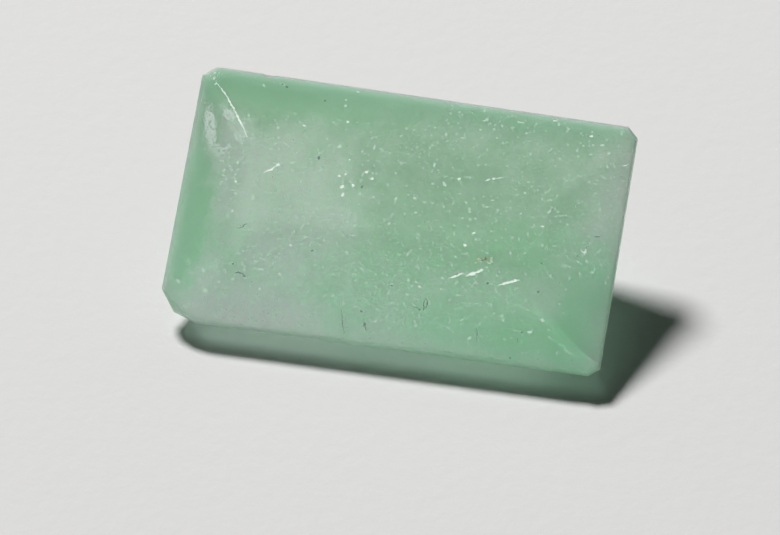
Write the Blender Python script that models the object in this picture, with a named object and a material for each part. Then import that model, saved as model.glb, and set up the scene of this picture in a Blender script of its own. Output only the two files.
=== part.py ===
"""A loose step-cut emerald that lies on its back, on one long facet of its pavilion.

The stone is cut as a lapidary cuts it: a block loses everything outside one flat facet after another.
The facets are worked out in the stone's own frame, with the table at z = 0, the length along X and the
pavilion pointing down. The finished stone is then turned until its resting facet is level.
"""

import math

import bmesh
import bpy
from mathutils import Matrix, Vector

MM = 0.001

# Outline of the table, seen square on
HALF_LENGTH_LEFT = 8.99 * MM
HALF_LENGTH_RIGHT = 9.02 * MM
HALF_WIDTH_NEAR = 5.27 * MM
HALF_WIDTH_FAR = 5.31 * MM

# Heights down from the table
GIRDLE_DEPTH = 0.46 * MM
FIRST_STEP_DEPTH = 2.88 * MM
CROWN_SLOPE = 40.0

# The block that the facets are cut from
BLOCK_SIZE = (20.0 * MM, 12.0 * MM, 7.0 * MM)

# Each side: the way it faces, its distance from the middle, the width of its narrow crown facet,
# how far its first pavilion step reaches in, and the slope of its second step
SIDES = {
    "near": (270.2, HALF_WIDTH_NEAR, 0.06 * MM, 2.92 * MM, 29.1),
    "right": (0.3, HALF_LENGTH_RIGHT, 0.06 * MM, 3.25 * MM, 30.7),
    "far": (89.4, HALF_WIDTH_FAR, 0.09 * MM, 2.98 * MM, 29.8),
    "left": (179.5, HALF_LENGTH_LEFT, 0.16 * MM, 2.15 * MM, 31.5),
}
RESTING_SIDE = "near"

# Each corner facet: its two sides, how much it takes off each, and how much of the corner it takes off
# at the foot of the first step. The near left corner has two such facets.
CORNERS = (
    ("far", "left", 0.55 * MM, 0.42 * MM, 0.20 * MM),
    ("right", "far", 0.40 * MM, 0.42 * MM, 0.24 * MM),
    ("near", "right", 0.45 * MM, 0.34 * MM, 0.22 * MM),
    ("left", "near", 1.17 * MM, 0.86 * MM, 0.42 * MM),
    ("left", "near", 0.56 * MM, 1.60 * MM, 0.34 * MM),
)
CORNER_CROWN_WIDTH = 0.10 * MM

# Each chip: a point on the edge that it leaves, and the radius and depth of the shallow scoop, with the
# way that the scoop faces
CHIPS = {
    "chip_far_edge": ((-6.25, 5.37, -0.02), 0.55, 0.13, (0.1, 0.8, 0.6)),
    "chip_far_middle": ((1.60, 5.30, -0.44), 0.80, 0.12, (0.0, 0.9, -0.3)),
    "chip_far_left_corner": ((-8.82, 5.16, -0.06), 0.50, 0.12, (-0.5, 0.6, 0.6)),
    "chip_near_right": ((8.05, -5.25, -0.04), 0.85, 0.10, (0.0, -0.8, 0.6)),
    "chip_near_left": ((-8.40, -4.90, -0.10), 0.60, 0.13, (-0.5, -0.6, 0.6)),
    "chip_near_girdle": ((-2.70, -5.25, -0.47), 0.75, 0.10, (0.0, -0.9, -0.2)),
    "chip_left_girdle": ((-8.97, 1.90, -0.47), 0.70, 0.12, (-0.9, 0.0, -0.2)),
    "chip_right_edge": ((9.03, 2.40, -0.03), 0.55, 0.09, (0.8, 0.0, 0.6)),
    "chip_keel": ((-1.20, 0.05, -4.18), 0.60, 0.09, (0.1, 0.1, -1.0)),
    "chip_step_corner": ((5.75, 2.36, -2.90), 0.70, 0.10, (0.5, 0.4, -0.8)),
}
CHIP_FINENESS = 3

WELD = 1e-7

EMERALD_COLOUR = (0.33, 0.62, 0.42, 1.0)
EMERALD_ROUGHNESS = 0.22
BERYL_IOR = 1.577


def clear_scene():
    """Empties the scene, so that only the stone is in it."""
    for thing in list(bpy.data.objects):
        bpy.data.objects.remove(thing, do_unlink=True)


def facing(azimuth):
    """The level direction at this azimuth, in degrees from +X."""
    angle = math.radians(azimuth)
    return Vector((math.cos(angle), math.sin(angle), 0.0))


def sloped(azimuth, slope):
    """The outward normal of a pavilion facet that leans in from level by slope degrees."""
    lean = math.radians(slope)
    return facing(azimuth) * math.sin(lean) - Vector((0.0, 0.0, math.cos(lean)))


def crown_normal(level):
    """The outward normal of a narrow crown facet above a side that faces this level direction."""
    lean = math.radians(CROWN_SLOPE)
    return level * math.sin(lean) + Vector((0.0, 0.0, math.cos(lean)))


def meeting(first, second, inset_by_steps):
    """Where two sides meet, level, at the girdle or at the foot of the first step."""
    lines = []
    for side in (first, second):
        azimuth, distance, _, inset, _ = SIDES[side]
        lines.append((facing(azimuth), distance - inset * inset_by_steps))
    (a, reach_a), (b, reach_b) = lines
    cross = a.x * b.y - a.y * b.x
    return Vector(((reach_a * b.y - reach_b * a.y) / cross, (a.x * reach_b - b.x * reach_a) / cross, 0.0))


def along(side, towards):
    """The level direction along a side's edge, away from the side that it meets."""
    edge = facing(SIDES[side][0] + 90.0)
    return -edge if edge.dot(facing(SIDES[towards][0])) > 0.0 else edge


def side_facets(name):
    """A side's four facets, each as a point on it and its outward normal."""
    azimuth, distance, crown, inset, second_slope = SIDES[name]
    level = facing(azimuth)
    rim = level * distance
    girdle = rim + Vector((0.0, 0.0, -GIRDLE_DEPTH))
    foot = level * (distance - inset) + Vector((0.0, 0.0, -FIRST_STEP_DEPTH))
    first_slope = math.degrees(math.atan2(FIRST_STEP_DEPTH - GIRDLE_DEPTH, inset))
    yield rim, level
    yield rim - level * crown, crown_normal(level)
    yield girdle, sloped(azimuth, first_slope)
    yield foot, sloped(azimuth, second_slope)


def corner_facets(first, second, first_leg, second_leg, trim):
    """A corner's three facets, each as a point on it and its outward normal."""
    tip = meeting(first, second, 0.0)
    foot_tip = meeting(first, second, 1.0)
    start = tip + along(first, second) * first_leg
    end = tip + along(second, first) * second_leg
    run = (end - start).normalized()
    level = Vector((run.y, -run.x, 0.0))
    if level.dot(tip) < 0.0:
        level = -level
    yield start, level
    yield start - level * CORNER_CROWN_WIDTH, crown_normal(level)
    drop = Vector((0.0, 0.0, -GIRDLE_DEPTH))
    foot = foot_tip - level * trim + Vector((0.0, 0.0, -FIRST_STEP_DEPTH))
    normal = run.cross(foot - start - drop).normalized()
    yield start + drop, normal if normal.dot(level) > 0.0 else -normal


def cut_facet(block, point, normal):
    """Cuts away what is outside one facet, and closes the cut with the facet's face."""
    everything = block.verts[:] + block.edges[:] + block.faces[:]
    cut = bmesh.ops.bisect_plane(
        block, geom=everything, dist=WELD, plane_co=point, plane_no=normal, clear_outer=True
    )
    rim = [item for item in cut["geom_cut"] if isinstance(item, bmesh.types.BMEdge)]
    if rim:
        bmesh.ops.contextual_create(block, geom=rim)


def cut_stone():
    """The stone in its own frame, with the table at z = 0."""
    block = bmesh.new()
    middle = Matrix.Translation((0.0, 0.0, -BLOCK_SIZE[2] / 2.0))
    bmesh.ops.create_cube(block, size=1.0, matrix=middle @ Matrix.Diagonal((*BLOCK_SIZE, 1.0)))
    for name in SIDES:
        for point, normal in side_facets(name):
            cut_facet(block, point, normal)
    for corner in CORNERS:
        for point, normal in corner_facets(*corner):
            cut_facet(block, point, normal)
    bmesh.ops.remove_doubles(block, verts=block.verts, dist=WELD)
    bmesh.ops.recalc_face_normals(block, faces=block.faces)
    return block


def to_rest(block):
    """The matrix that lays the resting facet level at z = 0, with the stone's box centred over the origin."""
    azimuth, _, _, _, slope = SIDES[RESTING_SIDE]
    level = sloped(azimuth, slope).rotation_difference(Vector((0.0, 0.0, -1.0))).to_matrix().to_4x4()
    corners = [level @ vert.co for vert in block.verts]
    low = Vector(min(corner[axis] for corner in corners) for axis in range(3))
    high = Vector(max(corner[axis] for corner in corners) for axis in range(3))
    shift = Vector((-(low.x + high.x) / 2.0, -(low.y + high.y) / 2.0, -low.z))
    return Matrix.Translation(shift) @ level


def emerald_material():
    """Pale green, faintly milky beryl."""
    material = bpy.data.materials.new("emerald_green_beryl")
    material.use_nodes = True
    surface = material.node_tree.nodes["Principled BSDF"]
    surface.inputs["Base Color"].default_value = EMERALD_COLOUR
    surface.inputs["Roughness"].default_value = EMERALD_ROUGHNESS
    surface.inputs["Metallic"].default_value = 0.0
    surface.inputs["IOR"].default_value = BERYL_IOR
    surface.inputs["Transmission Weight"].default_value = 0.8
    return material


def add_object(name, mesh_source):
    """Puts a finished bmesh in the scene as an object of this name."""
    mesh = bpy.data.meshes.new(name)
    mesh_source.to_mesh(mesh)
    mesh_source.free()
    thing = bpy.data.objects.new(name, mesh)
    bpy.context.collection.objects.link(thing)
    return thing


def chip_cutter(name, place):
    """A faceted ball that scoops one shallow chip out of an edge."""
    point, radius, depth, outward = CHIPS[name]
    centre = Vector(point) + Vector(outward).normalized() * (radius - depth)
    ball = bmesh.new()
    bmesh.ops.create_icosphere(
        ball,
        subdivisions=CHIP_FINENESS,
        radius=radius * MM,
        matrix=place @ Matrix.Translation(centre * MM),
    )
    cutter = add_object(name, ball)
    cutter.hide_render = True
    cutter.display_type = "WIRE"
    return cutter


def build_emerald():
    """The whole stone, with its chips, resting on its facet."""
    block = cut_stone()
    place = to_rest(block)
    bmesh.ops.transform(block, matrix=place, verts=block.verts)
    emerald = add_object("emerald", block)
    emerald.data.materials.append(emerald_material())
    for name in CHIPS:
        chip = emerald.modifiers.new(name, "BOOLEAN")
        chip.operation = "DIFFERENCE"
        chip.solver = "EXACT"
        chip.object = chip_cutter(name, place)
    return emerald


clear_scene()
build_emerald()
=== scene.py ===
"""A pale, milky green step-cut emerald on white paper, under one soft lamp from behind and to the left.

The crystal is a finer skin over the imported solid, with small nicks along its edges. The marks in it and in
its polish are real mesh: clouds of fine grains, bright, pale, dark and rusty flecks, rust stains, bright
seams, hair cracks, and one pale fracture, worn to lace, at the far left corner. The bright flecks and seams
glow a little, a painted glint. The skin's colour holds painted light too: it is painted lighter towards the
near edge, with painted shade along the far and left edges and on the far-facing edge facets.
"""

import math

import bmesh
import bpy
import numpy as np
from mathutils import Matrix, Vector, noise


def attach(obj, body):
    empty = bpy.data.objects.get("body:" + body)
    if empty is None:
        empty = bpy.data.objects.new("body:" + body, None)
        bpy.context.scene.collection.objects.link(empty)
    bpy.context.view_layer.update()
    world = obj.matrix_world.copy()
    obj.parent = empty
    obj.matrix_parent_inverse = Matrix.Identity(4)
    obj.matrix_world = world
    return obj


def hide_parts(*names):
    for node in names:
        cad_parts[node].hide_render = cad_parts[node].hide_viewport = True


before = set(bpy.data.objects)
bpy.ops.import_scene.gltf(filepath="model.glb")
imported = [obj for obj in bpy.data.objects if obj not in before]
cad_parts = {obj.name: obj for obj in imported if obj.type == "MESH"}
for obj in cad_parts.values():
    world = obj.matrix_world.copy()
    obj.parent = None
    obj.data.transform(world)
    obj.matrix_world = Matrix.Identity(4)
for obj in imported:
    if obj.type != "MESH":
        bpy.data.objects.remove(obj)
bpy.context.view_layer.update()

MM = 0.001
BODY = "root"
NODE = "emerald"

# The photograph's frame, and where the camera stands
PHOTO_WIDTH = 780
PHOTO_HEIGHT = 535
PIXEL = 0.0402
EYE_AZIMUTH = 10.95
EYE_ELEVATION = 44.87
EYE_DISTANCE = 427.0
SENSOR_WIDTH = 36.0

# How the stone lies: its own frame has the table at z = 0 and the pavilion pointing down, in millimetres
TABLE_TILT = math.radians(29.1)
RESTING_SIDE_SKEW = math.radians(0.2)
TILT_AXIS = Vector((math.cos(RESTING_SIDE_SKEW), math.sin(RESTING_SIDE_SKEW), 0.0))
TABLE_MIDDLE = Vector((-0.007, -0.165, 3.659))
STONE_TO_WORLD = Matrix.Translation(TABLE_MIDDLE) @ Matrix.Rotation(TABLE_TILT, 4, TILT_AXIS)
WORLD_TO_STONE = STONE_TO_WORLD.inverted()
NEAR_EDGE = Vector((0.0, -5.27, 0.0))
NEAR_EDGE_PIXEL = (376.4, 344.7)

BERYL_IOR = 1.577

LAMP_DIRECTION = Vector((-0.558, 0.669, 1.0)).normalized()
LAMP_DISTANCE = 1200.0 * MM
LAMP_ANGLE = math.radians(13.0)
LAMP_POWER = 21.6
ROOM_LIGHT = 0.032
PAPER_COLOUR = (0.60, 0.597, 0.589, 1.0)
PAPER_REACH = 1.5
# The paper lies this far under the resting facet, so that light can pass between them
PAPER_GAP = 0.02


def eye_axes():
    """The directions to the camera, to its right and to its top."""
    azimuth, elevation = math.radians(EYE_AZIMUTH), math.radians(EYE_ELEVATION)
    level = math.cos(elevation)
    eye = Vector((math.sin(azimuth) * level, -math.cos(azimuth) * level, math.sin(elevation)))
    right = Vector((0.0, 0.0, 1.0)).cross(eye).normalized()
    return eye, right, eye.cross(right)


EYE, RIGHT, TOP = eye_axes()
AIM = (
    STONE_TO_WORLD @ NEAR_EDGE
    + RIGHT * (PHOTO_WIDTH / 2.0 - NEAR_EDGE_PIXEL[0]) * PIXEL
    + TOP * (NEAR_EDGE_PIXEL[1] - PHOTO_HEIGHT / 2.0) * PIXEL
)


def seen_at(u, v, depth=0.0):
    """The point of the stone's frame that shows at pixel u, v, this many millimetres under the table."""
    across = RIGHT * (u - PHOTO_WIDTH / 2.0) * PIXEL
    rise = TOP * (PHOTO_HEIGHT / 2.0 - v) * PIXEL
    start = WORLD_TO_STONE @ (AIM + EYE * EYE_DISTANCE)
    ray = (WORLD_TO_STONE.to_3x3() @ (across + rise - EYE * EYE_DISTANCE)).normalized()
    on_table = start - ray * (start.z / ray.z)
    bent = Vector((ray.x, ray.y, 0.0)) / BERYL_IOR
    bent.z = -math.sqrt(1.0 - bent.x ** 2 - bent.y ** 2)
    return on_table + bent * (depth / -bent.z)


class Wire:
    """A socket of a material that plain arithmetic works on."""

    def __init__(self, finish, socket):
        self.finish = finish
        self.socket = socket

    def maths(self, operation, first, second):
        return self.finish.node("ShaderNodeMath", {"operation": operation}, {0: first, 1: second})

    def __add__(self, other):
        return self.maths("ADD", self, other)

    __radd__ = __add__

    def __sub__(self, other):
        return self.maths("SUBTRACT", self, other)

    def __rsub__(self, other):
        return self.maths("SUBTRACT", other, self)

    def __mul__(self, other):
        return self.maths("MULTIPLY", self, other)

    __rmul__ = __mul__


class Finish:
    """A material with one or two Principled surfaces, and the nodes that feed them."""

    def __init__(self, name, **values):
        self.material = bpy.data.materials.new(name)
        self.material.use_nodes = True
        self.tree = self.material.node_tree
        self.surfaces = [self.tree.nodes["Principled BSDF"]]
        self.values = {words.replace("_", " "): value for words, value in values.items()}
        for words, value in self.values.items():
            self.surfaces[0].inputs[words].default_value = value

    def where_low(self, share, **values):
        """Adds a second surface, like the first but for these values, that shows where share falls to 0."""
        other = self.tree.nodes.new("ShaderNodeBsdfPrincipled")
        changes = {words.replace("_", " "): value for words, value in values.items()}
        for words, value in {**self.values, **changes}.items():
            other.inputs[words].default_value = value
        inputs = {0: share, 1: Wire(self, other.outputs[0]), 2: Wire(self, self.surfaces[0].outputs[0])}
        mixed = self.node("ShaderNodeMixShader", None, inputs)
        self.feed(self.tree.nodes["Material Output"].inputs["Surface"], mixed)
        self.surfaces.append(other)

    def node(self, kind, settings=None, inputs=None, output=0):
        """Adds a node: first its settings, then the values or links of its sockets."""
        made = self.tree.nodes.new(kind)
        for name, value in (settings or {}).items():
            setattr(made, name, value)
        for name, value in (inputs or {}).items():
            self.feed(made.inputs[name], value)
        return Wire(self, made.outputs[output])

    def feed(self, socket, value):
        """Links a wire to a socket, or sets the socket's value."""
        if isinstance(value, Wire):
            self.tree.links.new(value.socket, socket)
        else:
            socket.default_value = value

    def drive(self, name, wire):
        """Lets a wire feed one socket of each surface."""
        for surface in self.surfaces:
            self.feed(surface.inputs[name], wire)

    def place(self):
        """Where a point of the surface is, in metres."""
        return self.node("ShaderNodeTexCoord", output="Object")

    def noise(self, size, detail=2.0, roughness=0.5):
        """Soft noise from 0 to 1 whose lumps are about this many millimetres wide."""
        inputs = {
            "Vector": self.place(),
            "Scale": 1.0 / (size * MM),
            "Detail": detail,
            "Roughness": roughness,
        }
        return self.node("ShaderNodeTexNoise", {"noise_dimensions": "3D"}, inputs, output="Fac")

    def between(self, value, low, high):
        """A smooth step from 0 at low to 1 at high."""
        inputs = {"Value": value, "From Min": low, "From Max": high}
        return self.node("ShaderNodeMapRange", {"interpolation_type": "SMOOTHSTEP"}, inputs)

    def blend(self, share, first, second):
        """A colour between two colours."""
        inputs = {"Factor": share, 6: first, 7: second}
        return self.node("ShaderNodeMix", {"data_type": "RGBA", "clamp_factor": True}, inputs, output=2)

    def along(self, direction, start):
        """How far a point lies from start along a direction, in millimetres."""
        inputs = {0: self.place(), 1: tuple(direction)}
        reach = self.node("ShaderNodeVectorMath", {"operation": "DOT_PRODUCT"}, inputs, output="Value")
        return reach * (1.0 / MM) - start.dot(direction)

    def facing(self, direction):
        """How squarely the surface faces a direction, from -1 to 1."""
        normal = self.node("ShaderNodeNewGeometry", output="Normal")
        inputs = {0: normal, 1: tuple(direction)}
        return self.node("ShaderNodeVectorMath", {"operation": "DOT_PRODUCT"}, inputs, output="Value")

    def bump(self, height, distance, strength):
        """Lets a height in millimetres tilt the surface's normal."""
        inputs = {"Height": height, "Distance": distance * MM, "Strength": strength}
        self.drive("Normal", self.node("ShaderNodeBump", None, inputs))


def new_piece(name, vertices, faces, finish):
    """A mesh piece from points in the stone's frame, in millimetres, riding on the stone's body."""
    mesh = bpy.data.meshes.new(name)
    turn = np.array(STONE_TO_WORLD)
    points = (np.asarray(vertices, dtype=float) @ turn[:3, :3].T + turn[:3, 3]) * MM
    mesh.from_pydata(points.tolist(), [], faces)
    mesh.materials.append(finish.material)
    piece = bpy.data.objects.new(name, mesh)
    bpy.context.collection.objects.link(piece)
    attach(piece, BODY)


# Camera, light and paper


def make_camera():
    """The camera, where the photographer's was."""
    lens = bpy.data.cameras.new("eye")
    lens.sensor_width = SENSOR_WIDTH
    lens.lens = SENSOR_WIDTH * EYE_DISTANCE / (PHOTO_WIDTH * PIXEL)
    lens.clip_start = 10.0 * MM
    lens.clip_end = 10.0
    camera = bpy.data.objects.new("eye", lens)
    bpy.context.collection.objects.link(camera)
    camera.location = (AIM + EYE * EYE_DISTANCE) * MM
    camera.rotation_euler = (-EYE).to_track_quat("-Z", "Y").to_euler()
    bpy.context.scene.camera = camera


def make_lamp():
    """One soft round lamp behind the stone and to its left."""
    bulb = bpy.data.lights.new("lamp", "AREA")
    bulb.shape = "DISK"
    bulb.size = 2.0 * LAMP_DISTANCE * math.tan(LAMP_ANGLE / 2.0)
    bulb.energy = LAMP_POWER
    lamp = bpy.data.objects.new("lamp", bulb)
    bpy.context.collection.objects.link(lamp)
    lamp.location = LAMP_DIRECTION * LAMP_DISTANCE
    lamp.rotation_euler = LAMP_DIRECTION.to_track_quat("Z", "Y").to_euler()


def make_room():
    """The even light of the room."""
    world = bpy.data.worlds.new("room")
    world.use_nodes = True
    light = world.node_tree.nodes["Background"]
    light.inputs["Color"].default_value = (1.0, 0.995, 0.985, 1.0)
    light.inputs["Strength"].default_value = ROOM_LIGHT
    bpy.context.scene.world = world


def make_paper():
    """The white paper that the stone lies on."""
    grid = bmesh.new()
    bmesh.ops.create_grid(grid, x_segments=1, y_segments=1, size=PAPER_REACH)
    mesh = bpy.data.meshes.new("paper")
    grid.to_mesh(mesh)
    grid.free()
    finish = Finish("white_paper", Base_Color=PAPER_COLOUR, Roughness=0.85)
    finish.bump(finish.noise(0.7, detail=4.0, roughness=0.6), 0.05, 0.35)
    mesh.materials.append(finish.material)
    paper = bpy.data.objects.new("paper", mesh)
    bpy.context.collection.objects.link(paper)
    paper.location.z = -PAPER_GAP * MM


# The crystal's skin

# Soft patches of the skin: the pixel of the middle, the reach across and up in pixels, and how milky each
# patch is, or how green where that is below zero
MILKY_PATCHES = (
    ((285, 195), (95, 85), 0.75),
    ((232, 165), (40, 60), 0.35),
    ((240, 285), (110, 50), 0.45),
    ((320, 240), (70, 60), 0.25),
    ((612, 180), (34, 90), 0.28),
    ((545, 330), (22, 60), 0.25),
    ((196, 205), (18, 80), -0.8),
    ((582, 330), (30, 70), -0.7),
    ((184, 230), (16, 90), -0.6),
    ((500, 335), (110, 40), -0.2),
    ((450, 205), (110, 70), -0.2),
    ((260, 95), (80, 30), -0.5),
    ((250, 318), (90, 26), 0.45),
    ((226, 138), (34, 34), 0.5),
)
# Patches of a deeper green, written in the same way
DEEP_PATCHES = (
    ((582, 328), (40, 90), 0.62),
    ((194, 205), (26, 110), 0.20),
    ((300, 98), (130, 30), 0.30),
    ((520, 242), (70, 34), 0.34),
    ((470, 345), (110, 36), 0.34),
    ((535, 345), (70, 40), 0.50),
    ((606, 268), (20, 60), 0.35),
)
# Painted light: the far colours are darker than the near ones, so the table is painted lighter towards its
# near edge
FAR_GREEN = (0.52, 0.70, 0.55, 1.0)
NEAR_GREEN = (0.60, 0.93, 0.68, 1.0)
FAR_MILK = (0.82, 0.94, 0.83, 1.0)
NEAR_MILK = (0.80, 1.0, 0.85, 1.0)
DEEP_GREEN = (0.42, 0.82, 0.52, 1.0)
# Painted shade: a dull grey laid on the edge facets that face the far way
FAR_FACET_SHADE_GREY = (0.42, 0.44, 0.42, 1.0)
# Painted shade: a darker green laid in rims along the far and left edges of the table
PAINTED_RIM_SHADE = (0.33, 0.52, 0.38, 1.0)
# The pavilion lets more light through than the table, but less at its right end
CLEAR_GREEN = (0.80, 1.0, 0.92, 1.0)
DIM_GREEN = (0.22, 0.36, 0.27, 1.0)
MOTTLE_GREEN = (0.33, 0.62, 0.42, 1.0)
# How much the fine mottling darkens or lightens the green
MOTTLE = 0.30
# The colour that light takes on in the crystal, and how fast it does
DEPTH_COLOUR = (0.42, 0.80, 0.60, 1.0)
DEPTH_DENSITY = 63.0
ABSORBING = {"Color": DEPTH_COLOUR, "Density": DEPTH_DENSITY}

# Where a colour gives way to another, as a pair of places up or across the table, in millimetres from its
# middle
# Painted light: the table grows lighter from the first of these places to the second, towards its near edge
PAINTED_LIGHT_FAR_TO_NEAR = (5.0, -4.5)
# The next two pairs place the painted shade rims along the far and left edges
FAR_RIM = (3.7, 5.3)
LEFT_RIM = (-7.4, -9.1)
# Where the painted shade on the far-facing edge facets begins
FAR_EDGE = (4.8, 5.1)
DIM_END = (4.5, 8.0)
FAR_RIM_STRENGTH = 0.95
LEFT_RIM_STRENGTH = 0.6
CLEAR_STRENGTH = 0.45
# The same for how squarely the skin faces the table's way or the far way
CLEAR_TO_MILKY = (-0.5, -0.2)
TABLE_TO_PAVILION = (-0.1, -0.3)
FAR_FACING = (0.3, 0.5)

NICK_SEED = 7
NICKS_PER_MM = 0.45
NICK_RADII = (0.07, 0.24)
NICK_DEPTHS = (0.010, 0.04)
NICK_LEAST_DEPTH = 0.008
# The high far edge keeps only its packed chips, so nicks stay below this height
NICKED_BELOW = 5.6
SCOOP_AREA = 0.03
TRUE_FACET_AREA = 0.05
NICKED_EDGE_LENGTH = 0.4
NICKED_EDGE_ANGLE = math.radians(20.0)
FLAT_ENOUGH = math.radians(0.1)
WELD = 1e-7


def patches(finish, across, up, list_of_patches):
    """The sum of soft patches, from their places on the table."""
    total = 0.0
    for (u, v), (reach_u, reach_v), strength in list_of_patches:
        middle = seen_at(u, v)
        dx = (across - middle.x) * (1.0 / (reach_u * PIXEL))
        dy = (up - middle.y) * (1.0 / (reach_v * PIXEL * 1.1))
        total = finish.between(dx * dx + dy * dy, 1.0, 0.0) * strength + total
    return total


def crystal_finish():
    """Milky green beryl: clear enough for light to pass, with a waxy polish on its table."""
    finish = Finish(
        "milky_green_beryl",
        IOR=BERYL_IOR,
        Transmission_Weight=0.45,
        Subsurface_Weight=1.0,
        Subsurface_Radius=(2.2, 3.4, 2.5),
        Subsurface_Scale=1.0 * MM,
        Roughness=0.38,
    )
    turn = STONE_TO_WORLD.to_3x3()
    table_way = turn @ Vector((0.0, 0.0, 1.0))
    far_way = turn @ Vector((0.0, 1.0, 0.0))
    milky = finish.between(finish.facing(table_way), *CLEAR_TO_MILKY)
    finish.where_low(milky, Transmission_Weight=1.0, Roughness=0.45)
    across = finish.along(turn @ Vector((1.0, 0.0, 0.0)), TABLE_MIDDLE)
    up = finish.along(far_way, TABLE_MIDDLE)
    soft_wander = finish.noise(2.2, detail=1.0) - 0.5
    wander = finish.noise(1.6, detail=4.0, roughness=0.6) - 0.5
    second_wander = finish.noise(0.9, detail=3.0) - 0.5
    fine = finish.noise(0.30, detail=4.0, roughness=0.7) - 0.5
    milk = finish.noise(1.2, detail=5.0, roughness=0.65) * 1.4 - 0.45 + fine * 0.5
    milky_across = across + wander * 3.0 + second_wander * 0.8
    milky_up = up - wander * 2.4 + second_wander * 0.8
    milk = milk + patches(finish, milky_across, milky_up, MILKY_PATCHES)
    deep = patches(finish, across + soft_wander * 1.4, up - soft_wander * 2.0, DEEP_PATCHES)
    # Painted light: the green and the milk grow lighter towards the near edge
    painted_near_light = finish.between(up + wander * 1.5, *PAINTED_LIGHT_FAR_TO_NEAR)
    green = finish.blend(painted_near_light, FAR_GREEN, NEAR_GREEN)
    pale = finish.blend(painted_near_light, FAR_MILK, NEAR_MILK)
    colour = finish.blend(deep, finish.blend(milk, green, pale), DEEP_GREEN)
    grain = finish.noise(0.11, detail=3.0, roughness=0.75)
    colour = finish.blend((grain - 0.35) * (MOTTLE * 2.0) + fine * MOTTLE, colour, MOTTLE_GREEN)
    # Painted shade: darker green rims along the far and left edges
    far_rim_shade = finish.between(up, *FAR_RIM) * FAR_RIM_STRENGTH
    left_rim_shade = finish.between(across, *LEFT_RIM) * LEFT_RIM_STRENGTH
    colour = finish.blend(far_rim_shade + left_rim_shade, colour, PAINTED_RIM_SHADE)
    # Painted shade: facets that face the far way, near the far edge, turn dull grey
    edge = finish.between(finish.facing(far_way), *FAR_FACING) * finish.between(up, *FAR_EDGE)
    colour = finish.blend(edge, colour, FAR_FACET_SHADE_GREY)
    below = finish.between(finish.facing(table_way), *TABLE_TO_PAVILION)
    colour = finish.blend(below * CLEAR_STRENGTH, colour, CLEAR_GREEN)
    colour = finish.blend(below * finish.between(across, *DIM_END), colour, DIM_GREEN)
    finish.drive("Base Color", colour)
    inside = finish.node("ShaderNodeVolumeAbsorption", None, ABSORBING)
    finish.feed(finish.tree.nodes["Material Output"].inputs["Volume"], inside)
    return finish


def whole_facets():
    """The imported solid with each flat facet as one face."""
    block = bmesh.new()
    block.from_mesh(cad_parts[NODE].data)
    bmesh.ops.remove_doubles(block, verts=block.verts, dist=WELD)
    bmesh.ops.dissolve_limit(block, angle_limit=FLAT_ENOUGH, verts=block.verts, edges=block.edges)
    return block


def facet_edges(block):
    """The straight edges between large facets, which is where a stone gets nicked."""
    for edge in block.edges:
        low = min(vert.co.z for vert in edge.verts) < NICKED_BELOW * MM
        if low and len(edge.link_faces) == 2 and edge.calc_length() > NICKED_EDGE_LENGTH * MM:
            small = min(face.calc_area() for face in edge.link_faces)
            if small > TRUE_FACET_AREA * MM * MM and edge.calc_face_angle(0.0) > NICKED_EDGE_ANGLE:
                yield edge


def nick_balls(block):
    """Small low balls set along the crystal's edges, each of which leaves one nick."""
    rng = np.random.default_rng(NICK_SEED)
    balls = bmesh.new()
    for edge in list(facet_edges(block)):
        start, end = (vert.co for vert in edge.verts)
        out = sum((face.normal for face in edge.link_faces), Vector()).normalized()
        for _ in range(rng.poisson(edge.calc_length() / MM * NICKS_PER_MM)):
            radius = rng.uniform(*NICK_RADII)
            depth = rng.uniform(*NICK_DEPTHS) * radius / NICK_RADII[1] + NICK_LEAST_DEPTH
            at = start.lerp(end, rng.uniform(0.01, 0.99)) + out * (radius - depth) * MM
            place = Matrix.Translation(at)
            bmesh.ops.create_icosphere(balls, subdivisions=2, radius=radius * MM, matrix=place)
    mesh = bpy.data.meshes.new("nicks")
    balls.to_mesh(mesh)
    balls.free()
    cutter = bpy.data.objects.new("nicks", mesh)
    bpy.context.collection.objects.link(cutter)
    return cutter


def make_crystal():
    """The crystal's skin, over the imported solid, with its nicked edges."""
    block = whole_facets()
    cutter = nick_balls(block)
    mesh = bpy.data.meshes.new("crystal")
    block.to_mesh(mesh)
    block.free()
    crystal = bpy.data.objects.new("crystal", mesh)
    bpy.context.collection.objects.link(crystal)
    nicked = crystal.modifiers.new("nicks", "BOOLEAN")
    nicked.operation = "DIFFERENCE"
    nicked.solver = "EXACT"
    nicked.use_self = True
    nicked.object = cutter
    bpy.context.view_layer.update()
    done = bpy.data.meshes.new_from_object(crystal.evaluated_get(bpy.context.evaluated_depsgraph_get()))
    crystal.modifiers.clear()
    crystal.data = done
    bpy.data.objects.remove(cutter)
    done.materials.clear()
    done.materials.append(crystal_finish().material)
    for face in done.polygons:
        face.use_smooth = face.area < SCOOP_AREA * MM * MM
    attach(crystal, BODY)
    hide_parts(NODE)


# What is seen inside


def facet_planes():
    """The stone's large facets, as outward normals and reaches in the stone's frame."""
    block = whole_facets()
    planes = []
    for face in block.faces:
        if face.calc_area() > TRUE_FACET_AREA * MM * MM:
            normal = WORLD_TO_STONE.to_3x3() @ face.normal
            point = WORLD_TO_STONE @ (face.calc_center_median() / MM)
            planes.append((*normal, normal.dot(point)))
    block.free()
    return np.array(planes)


PLANES = facet_planes()


def kept_inside(points, margin):
    """Which points lie inside the stone, this far under its skin."""
    return (points @ PLANES[:, :3].T - PLANES[:, 3] < -margin).all(axis=1)


class Shape:
    """Vertices and faces that a piece is gathered from, in the stone's frame."""

    def __init__(self):
        self.vertices = []
        self.faces = []

    def add(self, vertices, faces):
        """Adds a closed shape whose faces count from its own first vertex."""
        start = len(self.vertices)
        self.vertices.extend(tuple(vertex) for vertex in vertices)
        self.faces.extend([start + corner for corner in face] for face in faces)


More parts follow.
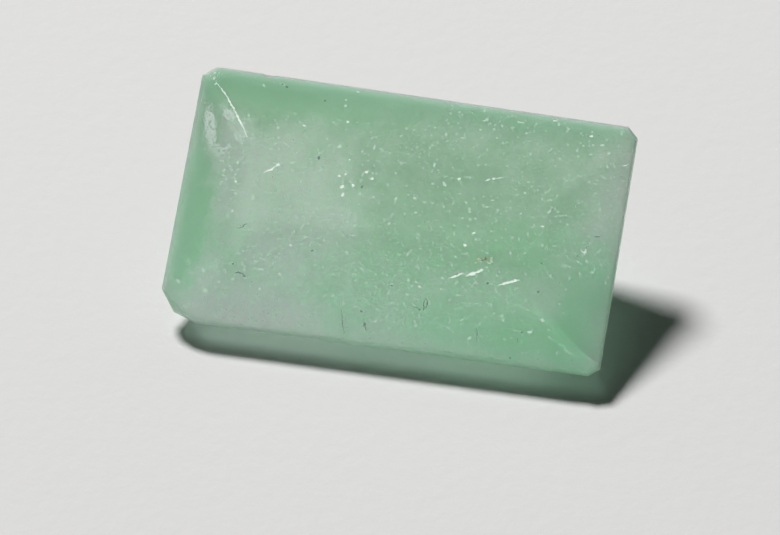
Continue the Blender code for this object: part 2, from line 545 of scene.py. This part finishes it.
# Clouds of fine grains: the pixel that the middle shows at, its depth, the reach along each of the stone's
# axes in millimetres, and how many grains
GRAIN_CLOUDS = (
    ((285, 185), 1.0, (2.6, 2.2, 0.7), 5200),
    ((250, 150), 0.8, (1.2, 1.0, 0.4), 1500),
    ((240, 275), 0.8, (2.6, 1.2, 0.5), 3200),
    ((390, 200), 1.6, (5.5, 3.2, 1.2), 6000),
    ((520, 250), 1.4, (3.8, 2.6, 1.0), 4200),
    ((600, 200), 0.7, (1.0, 3.0, 0.5), 1500),
    ((400, 320), 0.9, (6.0, 1.0, 0.5), 2600),
)
GRAIN_SEED = 11
GRAIN_SIZES = (0.008, 0.022)
# The share of a cloud's reach that its grains mostly lie within, and how far under the skin they stay
GRAIN_SPREAD = 0.55
GRAIN_MARGIN = 0.05

TETRAHEDRON = np.array(((1, 1, 1), (1, -1, -1), (-1, 1, -1), (-1, -1, 1)), dtype=float)
TETRAHEDRON_FACES = np.array(((0, 1, 2), (0, 3, 1), (0, 2, 3), (1, 3, 2)))


def random_turns(rng, count):
    """This many random rotation matrices."""
    q = rng.normal(size=(count, 4))
    q /= np.linalg.norm(q, axis=1, keepdims=True)
    w, x, y, z = q.T
    rows = (
        (1 - 2 * (y * y + z * z), 2 * (x * y - z * w), 2 * (x * z + y * w)),
        (2 * (x * y + z * w), 1 - 2 * (x * x + z * z), 2 * (y * z - x * w)),
        (2 * (x * z - y * w), 2 * (y * z + x * w), 1 - 2 * (x * x + y * y)),
    )
    return np.array(rows).transpose(2, 0, 1)


def scatter_grains(name, centres, sizes, finish, rng):
    """Many tiny four-sided grains in one piece."""
    shapes = np.einsum("nij,kj->nki", random_turns(rng, len(centres)), TETRAHEDRON)
    shapes *= sizes[:, None, None] * rng.uniform(0.5, 1.3, (len(centres), 4, 1))
    vertices = (shapes + centres[:, None, :]).reshape(-1, 3)
    starts = np.arange(len(centres))[:, None, None] * 4
    faces = (TETRAHEDRON_FACES[None] + starts).reshape(-1, 3).tolist()
    new_piece(name, vertices, faces, finish)


def make_grain_clouds():
    """The milkiness: fine pale grains, in clouds at several depths."""
    rng = np.random.default_rng(GRAIN_SEED)
    finish = Finish("pale_grains", Base_Color=(0.86, 0.97, 0.88, 1.0), Roughness=0.6)
    spots = []
    for (u, v), depth, reach, count in GRAIN_CLOUDS:
        spread = rng.normal(size=(count, 3)) * np.array(reach) * GRAIN_SPREAD
        spots.append(np.array(seen_at(u, v, depth)) + spread)
    spots = np.concatenate(spots)
    spots = spots[kept_inside(spots, GRAIN_MARGIN)]
    sizes = rng.uniform(*GRAIN_SIZES, len(spots))
    scatter_grains("cloud_grains", spots, sizes, finish, rng)


# Flecks that lie in the table's polish: the pixel of the middle, length and width in pixels, and how far
# the long way is turned from level, in degrees
# Bright flecks: pale fracture flakes that also glow a little, a painted glint of the lamp
GLINTING_FLECKS = (
    (304.3, 125.7, 5.5, 3.0, -10), (347.8, 122.1, 4.0, 3.6, 0), (277.9, 164.8, 6.5, 4.5, 30),
    (264.6, 172.1, 3.4, 2.4, 40), (366.6, 172.2, 4.2, 3.8, 0), (372.3, 178.6, 4.6, 4.0, 0),
    (342.7, 195.2, 6.5, 4.4, 60), (342.3, 186.9, 6.5, 4.6, 20), (353.2, 185.6, 4.4, 3.4, 60),
    (339.1, 176.0, 4.4, 3.2, -20), (345.5, 174.2, 3.6, 2.4, 60), (235.8, 181.8, 3.6, 3.2, 0),
    (465.0, 245.0, 5.0, 4.0, -30), (473.7, 233.1, 6.0, 3.0, 5), (454.7, 276.6, 6.5, 3.8, 30),
    (459.3, 178.8, 5.0, 3.6, 0), (493.6, 178.8, 4.4, 3.6, 0), (591.4, 136.2, 6.5, 3.2, 5),
    (542.9, 226.4, 4.0, 3.2, 0), (232.1, 211.0, 4.2, 3.4, 40), (290.7, 245.3, 3.8, 3.4, 0),
    (509.4, 282.6, 5.0, 3.2, 30), (515.8, 280.2, 5.2, 3.0, -20), (279.2, 273.7, 4.0, 2.4, 10),
    (419.6, 286.8, 5.2, 2.8, -35), (555.0, 120.7, 6.0, 2.2, 5), (272.0, 79.0, 4.6, 2.0, -50),
    (216.0, 83.6, 4.6, 2.2, 40), (214.0, 78.5, 3.6, 2.2, -60), (259.7, 288.9, 3.6, 2.8, 0),
)
PALE_FLECKS = (
    (277.9, 127.2, 3.6, 3.0, 0), (278.5, 137.8, 3.0, 3.6, 0), (339.8, 146.7, 5.0, 3.6, 20),
    (374.2, 147.4, 6.0, 2.6, 80), (345.5, 105.9, 3.8, 3.4, 0), (346.0, 100.0, 3.0, 2.6, 0),
    (235.6, 193.3, 3.6, 3.4, 0), (253.0, 197.8, 5.0, 3.6, 60), (214.8, 72.8, 3.4, 2.4, 20),
    (263.9, 85.5, 5.0, 2.8, -60), (475.8, 239.5, 3.4, 2.6, 0), (455.7, 256.7, 3.2, 2.6, -40),
    (416.1, 281.9, 4.0, 2.2, -30), (585.2, 252.4, 8.0, 2.4, 65), (529.8, 332.1, 6.0, 3.0, 0),
    (469.5, 338.3, 4.6, 3.2, 20), (535.4, 361.9, 4.0, 2.6, 0), (542.4, 319.8, 4.6, 4.6, 0),
    (602.2, 145.1, 4.4, 2.6, 20), (608.9, 153.4, 3.4, 2.8, 0), (484.5, 120.7, 4.4, 1.8, 5),
    (521.0, 122.4, 9.0, 1.8, -10), (434.4, 165.0, 5.2, 3.0, 80), (444.7, 184.6, 6.2, 3.0, -60),
    (492.8, 200.3, 4.4, 2.4, 10), (487.0, 207.0, 4.0, 2.4, 20), (395.8, 198.7, 5.0, 2.8, 60),
    (391.6, 215.3, 6.0, 2.8, 60), (389.0, 223.5, 3.6, 2.8, 40), (414.5, 198.2, 3.6, 3.0, 0),
    (415.7, 212.8, 3.6, 3.0, 0), (549.2, 212.0, 5.0, 3.0, 40), (475.4, 218.6, 4.0, 2.0, -30),
    (521.0, 213.6, 3.2, 2.8, 0), (462.0, 138.0, 4.4, 2.2, -10), (227.7, 214.7, 4.2, 2.6, -20),
    (203.4, 270.5, 6.6, 3.6, -80), (177.9, 281.2, 6.0, 2.8, -55), (205.0, 290.8, 6.0, 4.6, 0),
    (262.8, 269.3, 4.0, 2.4, -60), (375.7, 320.8, 4.4, 3.2, 30), (391.6, 216.3, 4.8, 2.4, 60),
    (358.3, 91.9, 5.0, 1.8, -10), (497.0, 138.0, 3.0, 2.0, 0), (525.0, 193.0, 4.0, 2.4, 20),
)
DARK_FLECKS = (
    (286.8, 86.8, 3.4, 2.6, -20), (282.4, 84.2, 2.4, 1.6, 0), (325.0, 100.6, 2.6, 2.2, 0),
    (417.0, 99.6, 4.0, 2.0, 5), (541.7, 263.3, 2.6, 2.2, 0), (538.2, 291.7, 4.0, 3.0, 20),
    (597.1, 236.7, 7.6, 1.8, 0), (577.5, 256.0, 3.4, 1.6, 50), (522.0, 332.0, 2.8, 2.4, 0),
    (510.0, 358.0, 3.4, 1.6, -40), (487.7, 283.3, 3.0, 2.6, 50), (419.4, 309.7, 3.0, 2.6, 0),
    (232.9, 263.7, 3.0, 2.0, 0), (244.4, 276.2, 4.0, 2.4, -35), (311.9, 250.6, 4.4, 2.2, 10),
    (391.6, 285.7, 3.0, 2.0, 0), (361.3, 311.2, 3.6, 2.6, -40), (364.5, 324.5, 5.0, 3.4, 60),
    (325.4, 339.1, 3.6, 1.6, -40), (361.8, 187.0, 4.4, 2.6, 60), (318.7, 158.2, 4.6, 3.0, 80),
)
RUSTY_FLECKS = (
    (485.2, 258.8, 4.6, 3.0, 60), (482.6, 260.2, 2.6, 2.0, 20),
)
RUST_STAINS = (
    (479.0, 259.4, 5.5, 2.6, 0), (491.0, 258.6, 4.6, 2.6, 20), (488.2, 263.0, 4.0, 2.4, -20),
    (476.5, 262.5, 2.6, 1.8, 0), (441.0, 289.0, 3.0, 2.4, 0),
)
# Soft smudges, just darker than the green
SMUDGES = (
    (318.2, 150.0, 3.0, 4.4, 0), (316.6, 157.6, 5.4, 3.8, 10), (322.4, 167.2, 6.4, 3.0, -50),
    (310.0, 191.0, 5.0, 2.4, 60), (361.0, 181.0, 3.4, 5.0, 0), (282.8, 84.4, 8.0, 3.2, -20),
)
FLECK_SEED = 23
FLECK_THICKNESS = 0.012
FLECK_SIDES = 6
# A mark is kept where the stone under it, this deep, is still this far from every side
FLECK_TEST_DEPTH = 0.3
FLECK_MARGIN = 0.16
# How far the first kind of fleck stands out of the polish, and how much more each next kind does
PROUD = 0.003
LAYER_STEP = 0.0004
# Small flecks are strewn over these pixels, and kept where the stone this deep is this far from every side
STREWN_ACROSS = (165.0, 635.0)
STREWN_DOWN = (70.0, 372.0)
STREWN_TEST_DEPTH = 0.2
STREWN_MARGIN = 0.15
SMALL_PALE_FLECKS = 60
SMALL_DARK_FLECKS = 90
FAINT_PALE_FLECKS = 1300
FAINT_DARK_FLECKS = 1300
# Places where the polish is smooth and no small flecks are strewn: middle, reach each way and turn
SMOOTH_PLACES = (
    ((590, 318), (26, 42), 0.0),
    ((330, 100), (120, 17), -8.0),
    ((196, 215), (14, 80), 10.0),
)
# Each bright fleck is a core of this share of its length and width, with smaller pale bits beside it
CORE_LENGTH = 0.78
CORE_WIDTH = 0.72
BROKEN_BITS = 3
BIT_SPREAD = 0.45


def ellipse_gap(u, v, middle, reach, turn):
    """0 at an ellipse's middle and 1 on its rim."""
    angle = math.radians(turn)
    du, dv = u - middle[0], v - middle[1]
    along = du * math.cos(angle) - dv * math.sin(angle)
    beside = du * math.sin(angle) + dv * math.cos(angle)
    return math.hypot(along / reach[0], beside / reach[1])


def on_table(points):
    """Whether all these points lie well within the table's edges."""
    return kept_inside(np.array(points) - (0.0, 0.0, FLECK_TEST_DEPTH), FLECK_MARGIN).all()


def add_fleck(shape, u, v, length, width, turn, depth, rng):
    """One thin flake with uneven sides, whose top shows at pixel u, v. It is left out past an edge."""
    angle = math.radians(turn)
    middle = seen_at(u, v, depth)
    long_way = seen_at(u + math.cos(angle), v - math.sin(angle), depth) - middle
    wide_way = seen_at(u + math.sin(angle), v + math.cos(angle), depth) - middle
    low, high = [], []
    for side in range(FLECK_SIDES):
        round_by = math.radians(360.0 / FLECK_SIDES * side + rng.uniform(-18.0, 18.0))
        reach = rng.uniform(0.72, 1.12) / 2.0
        rim = long_way * length * math.cos(round_by) * reach + wide_way * width * math.sin(round_by) * reach
        high.append(middle + rim)
        low.append(middle + rim * 0.8 - Vector((0.0, 0.0, FLECK_THICKNESS)))
    if not on_table(low):
        return
    faces = [tuple(range(FLECK_SIDES)), tuple(range(2 * FLECK_SIDES - 1, FLECK_SIDES - 1, -1))]
    for side in range(FLECK_SIDES):
        beside = (side + 1) % FLECK_SIDES
        faces.append((beside, side, side + FLECK_SIDES, beside + FLECK_SIDES))
    upward = (high[1] - high[0]).cross(high[2] - high[0]).z > 0.0
    shape.add(high + low, faces if upward else [face[::-1] for face in faces])


def add_small_flecks(shape, tries, sizes, proud, rng):
    """Tiny flakes strewn all over the table. Those that would fall past its edges are left out."""
    for _ in range(tries):
        u, v = rng.uniform(*STREWN_ACROSS), rng.uniform(*STREWN_DOWN)
        length = rng.uniform(*sizes)
        width = length * rng.uniform(0.5, 0.9)
        turn = rng.uniform(0.0, 180.0)
        smooth = any(ellipse_gap(u, v, *place) < 1.0 for place in SMOOTH_PLACES)
        under = np.array([seen_at(u, v, STREWN_TEST_DEPTH)])
        if not smooth and kept_inside(under, STREWN_MARGIN)[0]:
            add_fleck(shape, u, v, length, width, turn, -proud, rng)


def make_flecks():
    """Flecks in the polish: bright ones with a painted glint, pale, dark, rusty and very faint ones."""
    rng = np.random.default_rng(FLECK_SEED)
    # Painted glint: the bright flecks' emission stands for lamp light glinting off them
    bright = Finish(
        "bright_fleck",
        Base_Color=(0.93, 1.0, 0.94, 1.0),
        Roughness=0.35,
        Emission_Color=(0.92, 1.0, 0.93, 1.0),
        Emission_Strength=0.16,
    )
    pale = Finish("pale_fleck", Base_Color=(0.74, 0.94, 0.79, 1.0), Roughness=0.45)
    faint_pale = Finish("faint_pale_fleck", Base_Color=(0.63, 0.85, 0.69, 1.0), Roughness=0.5)
    faint_dark = Finish("faint_dark_fleck", Base_Color=(0.52, 0.74, 0.58, 1.0), Roughness=0.5)
    dark = Finish("dark_fleck", Base_Color=(0.20, 0.31, 0.24, 1.0), Roughness=0.6)
    rusty = Finish("rusty_fleck", Base_Color=(0.27, 0.21, 0.12, 1.0), Roughness=0.6)
    stain = Finish("rust_stain", Base_Color=(0.66, 0.68, 0.45, 1.0), Roughness=0.6)
    bits = []
    for u, v, length, width, turn in GLINTING_FLECKS:
        for _ in range(BROKEN_BITS):
            du, dv = rng.normal(size=2) * BIT_SPREAD * length
            bit_length = length * rng.uniform(0.15, 0.4)
            bit_width = width * rng.uniform(0.2, 0.45)
            bits.append((u + du, v + dv, bit_length, bit_width, turn))
    cores = [
        (u, v, length * CORE_LENGTH, width * CORE_WIDTH, turn) for u, v, length, width, turn in GLINTING_FLECKS
    ]
    # Each kind's name, finish, placed flecks, how many small ones are strewn, and their lengths in pixels
    groups = (
        ("faint_pale_flecks", faint_pale, (), FAINT_PALE_FLECKS, (1.2, 4.2)),
        ("faint_dark_flecks", faint_dark, SMUDGES, FAINT_DARK_FLECKS, (1.2, 4.2)),
        ("pale_flecks", pale, (*PALE_FLECKS, *bits), SMALL_PALE_FLECKS, (0.8, 2.0)),
        ("flecks_with_painted_glint", bright, cores, 0, None),
        ("dark_flecks", dark, DARK_FLECKS, SMALL_DARK_FLECKS, (0.6, 1.5)),
        ("rust_stains", stain, RUST_STAINS, 0, None),
        ("rusty_flecks", rusty, RUSTY_FLECKS, 0, None),
    )
    for layer, (name, finish, placed, small, sizes) in enumerate(groups):
        shape = Shape()
        proud = PROUD + layer * LAYER_STEP
        for u, v, length, width, turn in placed:
            add_fleck(shape, u, v, length, width, turn, -proud, rng)
        if small:
            add_small_flecks(shape, small, sizes, proud, rng)
        new_piece(name, shape.vertices, shape.faces, finish)


# Threads that lie in the polish: their pixels in order, and their width in pixels
# Bright seams: pale seams that also glow a little, a painted glint
GLINTING_THREADS = (
    (((217, 83.5), (226.9, 96.5), (238.4, 117.4), (248, 138)), 1.7),
    (((235, 112), (243, 127)), 1.9),
    (((266, 171.5), (271.5, 169), (277, 166)), 2.0),
    (((448.6, 279), (454.8, 276.8), (462.4, 273)), 2.0),
    (((466, 276), (475, 272.6), (484.4, 269.4)), 3.2),
    (((498.2, 285), (504, 283.8), (512, 281.4), (519.3, 279.8)), 2.6),
    (((486, 181), (489.6, 179.6)), 1.6),
    (((496, 178.4), (503.5, 177.6)), 1.3),
    (((580, 249), (584, 253), (588.5, 244)), 1.2),
)
DARK_THREADS = (
    (((424.6, 298), (427.2, 300.6), (427.4, 303.7), (425.6, 308.2)), 1.3),
    (((424.4, 298.6), (423.6, 303.5), (423.6, 311.4)), 1.2),
    (((414, 306.5), (419.4, 309.7)), 1.0),
    (((341.4, 309.6), (342.4, 322), (343.8, 335.1)), 0.9),
    (((476.6, 328), (476.8, 335), (476.2, 341.5)), 0.8),
    (((517.6, 337), (517.2, 344)), 0.8),
    (((233.7, 272.9), (237, 272.2), (241.5, 273.4), (244.9, 276.1)), 1.3),
    (((236, 228), (242, 227.6), (247, 222.4)), 1.0),
    (((586.6, 249), (588.2, 244.4)), 0.9),
    (((363.8, 318), (365.4, 331)), 1.2),
)
THREAD_SEED = 31
THREAD_STEP = 1.6
THREAD_WANDER = 0.35
THREAD_PROUD = 0.006


def add_thread(shape, pixels, width, rng):
    """A thin thread along a wandering way, half sunk in the table, pointed at both ends."""
    way = []
    for (u, v), (next_u, next_v) in zip(pixels, pixels[1:]):
        steps = max(2, round(math.dist((u, v), (next_u, next_v)) / THREAD_STEP))
        way += [(u + (next_u - u) * k / steps, v + (next_v - v) * k / steps) for k in range(steps)]
    way.append(pixels[-1])
    points = [seen_at(u + rng.normal() * THREAD_WANDER, v + rng.normal() * THREAD_WANDER) for u, v in way]
    rings = len(points)
    vertices = []
    for place, point in enumerate(points):
        ahead = points[min(place + 1, rings - 1)] - points[max(place - 1, 0)]
        beside = Vector((-ahead.y, ahead.x, 0.0)).normalized()
        taper = 0.25 + 0.75 * math.sin(math.pi * (place + 0.4) / (rings - 0.2))
        half = width * PIXEL / 2.0 * taper * rng.uniform(0.35, 1.3)
        vertices += [
            point - beside * half + Vector((0.0, 0.0, THREAD_PROUD)),
            point + beside * half + Vector((0.0, 0.0, THREAD_PROUD)),
            point + Vector((0.0, 0.0, -FLECK_THICKNESS)),
        ]
    faces = [(0, 1, 2), (3 * rings - 1, 3 * rings - 2, 3 * rings - 3)]
    for ring in range(rings - 1):
        for side in range(3):
            a, b = 3 * ring + side, 3 * ring + (side + 1) % 3
            faces.append((b, a, a + 3, b + 3))
    shape.add(vertices, faces)


def make_threads():
    """Bright seams, which glow with a painted glint, and dark hair cracks that reach the polish."""
    rng = np.random.default_rng(THREAD_SEED)
    # Painted glint: the bright seams' emission stands for lamp light glinting off them
    bright = Finish(
        "bright_seam",
        Base_Color=(0.93, 1.0, 0.94, 1.0),
        Roughness=0.4,
        Emission_Color=(0.9, 1.0, 0.92, 1.0),
        Emission_Strength=0.18,
    )
    dark = Finish("dark_crack", Base_Color=(0.17, 0.27, 0.20, 1.0), Roughness=0.6)
    groups = (("seams_with_painted_glint", bright, GLINTING_THREADS), ("hair_cracks", dark, DARK_THREADS))
    for name, finish, threads in groups:
        shape = Shape()
        for pixels, width in threads:
            add_thread(shape, pixels, width, rng)
        new_piece(name, shape.vertices, shape.faces, finish)


# The lacy feather at the far left corner: lobes as the pixel of the middle, the reach each way, the turn in
# degrees, and how dense the lace is
FEATHER_LOBES = (
    ((210.5, 128.0), (8.0, 27.0), 4.0, 0.64),
    ((229.0, 114.5), (12.0, 7.5), -38.0, 0.62),
    ((240.5, 134.5), (9.0, 10.0), 0.0, 0.50),
    ((219.0, 149.0), (17.0, 9.0), 0.0, 0.50),
    ((261.0, 142.5), (17.0, 9.0), -8.0, 0.40),
    ((247.0, 158.0), (12.0, 10.0), 0.0, 0.36),
    ((216.0, 76.0), (8.5, 7.0), 0.0, 0.34),
)
FEATHER_HOLES = (
    ((225.5, 133.5), (8.0, 13.5), -14.0),
    ((219.0, 112.0), (3.2, 6.0), -35.0),
)
# The pixels that the feather is looked for in, and the size of its cells in pixels
FEATHER_ACROSS = (200.0, 278.0)
FEATHER_DOWN = (68.0, 168.0)
FEATHER_CELL = 0.5
FEATHER_THICKNESS = 0.006
FEATHER_PROUD = 0.0048


def feather_share(u, v):
    """How much of the feather is left at a pixel."""
    share = 0.0
    for middle, reach, turn, density in FEATHER_LOBES:
        gap = ellipse_gap(u, v, middle, reach, turn)
        share = max(share, density * min(1.0, (1.3 - gap) * 1.3))
    for middle, reach, turn in FEATHER_HOLES:
        gap = ellipse_gap(u, v, middle, reach, turn)
        share = min(share, max(0.0, (gap - 0.95) * 4.0))
    return share


def make_feather():
    """A pale fracture that reaches the polish, worn to lace, with a clear hole in its middle."""
    finish = Finish("pale_fracture", Base_Color=(0.70, 0.85, 0.75, 1.0), Roughness=0.5)
    shape = Shape()
    left, right = FEATHER_ACROSS
    top, bottom = FEATHER_DOWN
    columns = round((right - left) / FEATHER_CELL)
    rows = round((bottom - top) / FEATHER_CELL)
    kept = set()
    for row in range(rows):
        for column in range(columns):
            u, v = left + column * FEATHER_CELL, top + row * FEATHER_CELL
            ragged = noise.fractal(Vector((u * 0.7, v * 0.5, 3.0)), 0.7, 2.3, 3) * 0.6 + 0.5
            if ragged < feather_share(u, v) and on_table([seen_at(u, v)]):
                kept.add((column, row))
    corners = {}

    def corner(column, row, low):
        """The number of a cell's corner, on the feather's top or its underside."""
        key = (column, row, low)
        if key not in corners:
            place = seen_at(left + (column - 0.5) * FEATHER_CELL, top + (row - 0.5) * FEATHER_CELL)
            place.z = FEATHER_PROUD - (FEATHER_THICKNESS if low else 0.0)
            corners[key] = len(shape.vertices)
            shape.vertices.append(tuple(place))
        return corners[key]

    for column, row in sorted(kept):
        rim = ((column, row), (column, row + 1), (column + 1, row + 1), (column + 1, row))
        beside = ((column - 1, row), (column, row + 1), (column + 1, row), (column, row - 1))
        shape.faces.append([corner(*at, False) for at in rim])
        shape.faces.append([corner(*at, True) for at in rim[::-1]])
        for side in range(4):
            if beside[side] not in kept:
                first, second = rim[side], rim[(side + 1) % 4]
                top_ends = [corner(*second, False), corner(*first, False)]
                shape.faces.append(top_ends + [corner(*first, True), corner(*second, True)])
    new_piece("corner_feather", shape.vertices, shape.faces, finish)


bpy.context.scene.view_settings.view_transform = "Standard"
bpy.context.scene.cycles.sample_clamp_indirect = 0.0
make_camera()
make_lamp()
make_room()
make_paper()
make_crystal()
make_grain_clouds()
make_flecks()
make_threads()
make_feather()
